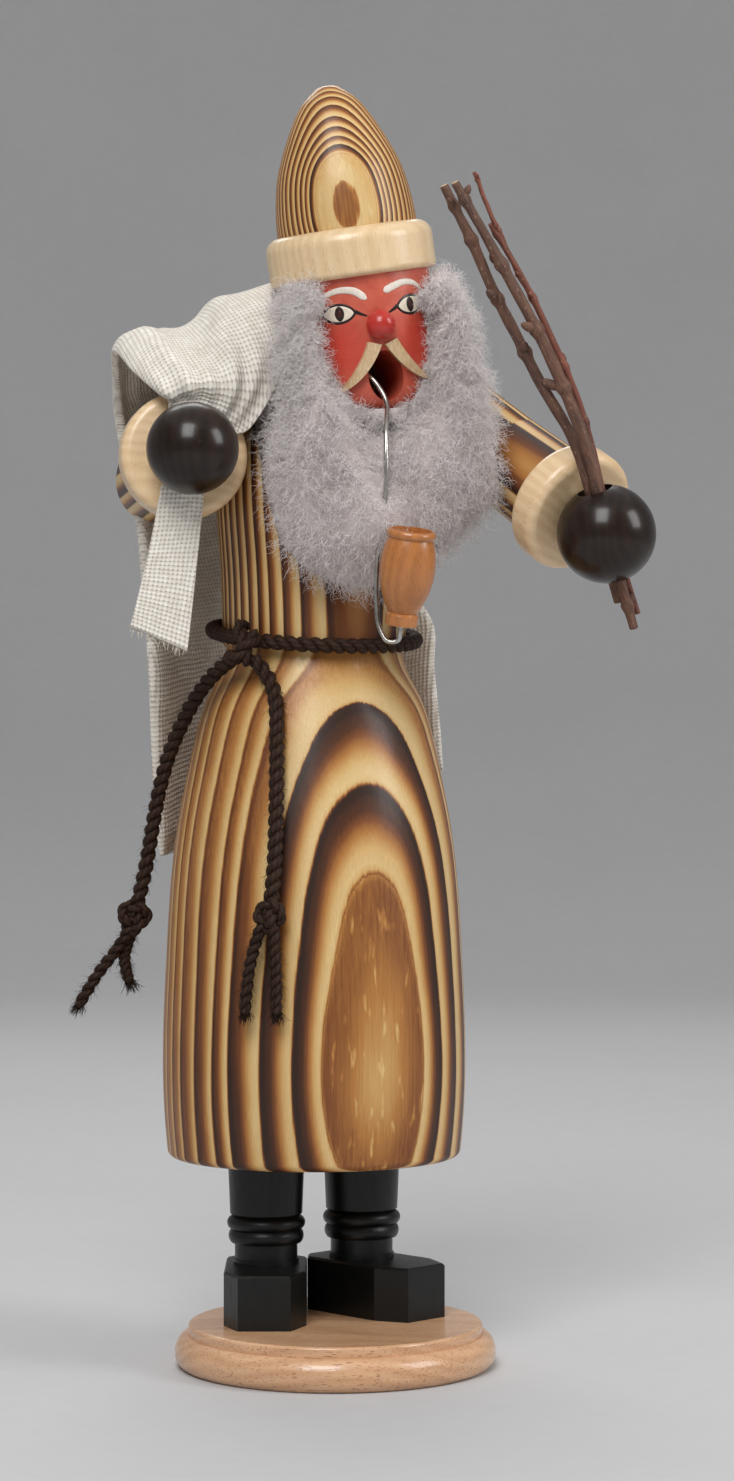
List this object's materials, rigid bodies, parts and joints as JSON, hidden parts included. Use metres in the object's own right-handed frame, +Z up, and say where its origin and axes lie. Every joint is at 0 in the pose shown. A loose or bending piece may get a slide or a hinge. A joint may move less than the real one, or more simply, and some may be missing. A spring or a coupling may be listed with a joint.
{
  "type": "german incense smoker",
  "caption": "Turned wooden incense smoker shaped as a bearded wanderer with pointed cap, sack, twigs and pipe; the upper body lifts off to load a cone and smoke leaves by the mouth.",
  "frame": {"origin": "centre of the round base plate's underside", "axes": "+Z up, the figure faces -Y, +X is the figure's left"},
  "size_m": [0.1306, 0.1284, 0.3411],
  "materials": {
    "base_wood": "gloss clear lacquer",
    "flamed_wood": "satin clear lacquer",
    "pale_wood": "satin clear lacquer",
    "black_paint": "satin black paint",
    "skin_paint": "satin red-brown paint",
    "cream_paint": "satin cream paint",
    "dark_stain": "gloss dark stain",
    "pipe_wood": "satin clear lacquer",
    "dowel_wood": "plain",
    "bark": "dry bark",
    "tin": "tinned sheet",
    "steel": "bright wire",
    "linen": "coarse plain weave",
    "cord": "twisted cord",
    "wool": "loose wool fleece"
  },
  "bodies": {
    "stand": {"base_plate": "base_wood", "shoe_right": "black_paint", "shoe_left": "black_paint", "leg_right": "black_paint", "leg_left": "black_paint", "coat_skirt": "flamed_wood", "incense_tray": "tin", "tray_nail": "steel"},
    "belt": {"belt_cord": "cord", "belt_knot": "cord", "long_tail_cord": "cord", "long_tail_knot": "cord", "long_tail_strands": "cord", "short_tail_cord": "cord", "short_tail_knot": "cord", "short_tail_strands": "cord"},
    "upper_body": {"torso": "flamed_wood", "neck_dowel": "dowel_wood", "head": "skin_paint", "nose": "skin_paint", "moustache_right": "cream_paint", "moustache_left": "cream_paint", "hat_band": "pale_wood", "hat_crown": "flamed_wood", "upper_sleeve_right": "flamed_wood", "upper_sleeve_left": "flamed_wood", "forearm_sleeve_right": "flamed_wood", "forearm_sleeve_left": "flamed_wood", "cuff_right": "pale_wood", "cuff_left": "pale_wood", "hand_right": "dark_stain", "hand_left": "dark_stain", "shoulder_dowels": "dowel_wood", "elbow_dowels": "dowel_wood", "wrist_dowels": "dowel_wood", "beard": "wool", "pipe_stem": "steel", "pipe_bowl": "pipe_wood", "twig_stout": "bark", "twig_long": "bark", "twig_forked": "bark", "sack": "linen"}
  },
  "joints": [
    {"name": "waist_turn", "type": "hinge", "parent": "stand", "child": "belt", "pos_m": [0, 0.0155, 0.193], "axis": [0, 0, 1], "continuous": true},
    {"name": "lift_off", "type": "slide", "parent": "belt", "child": "upper_body", "axis": [0, 0, 1], "range_m": [0, 0.06]}
  ]
}
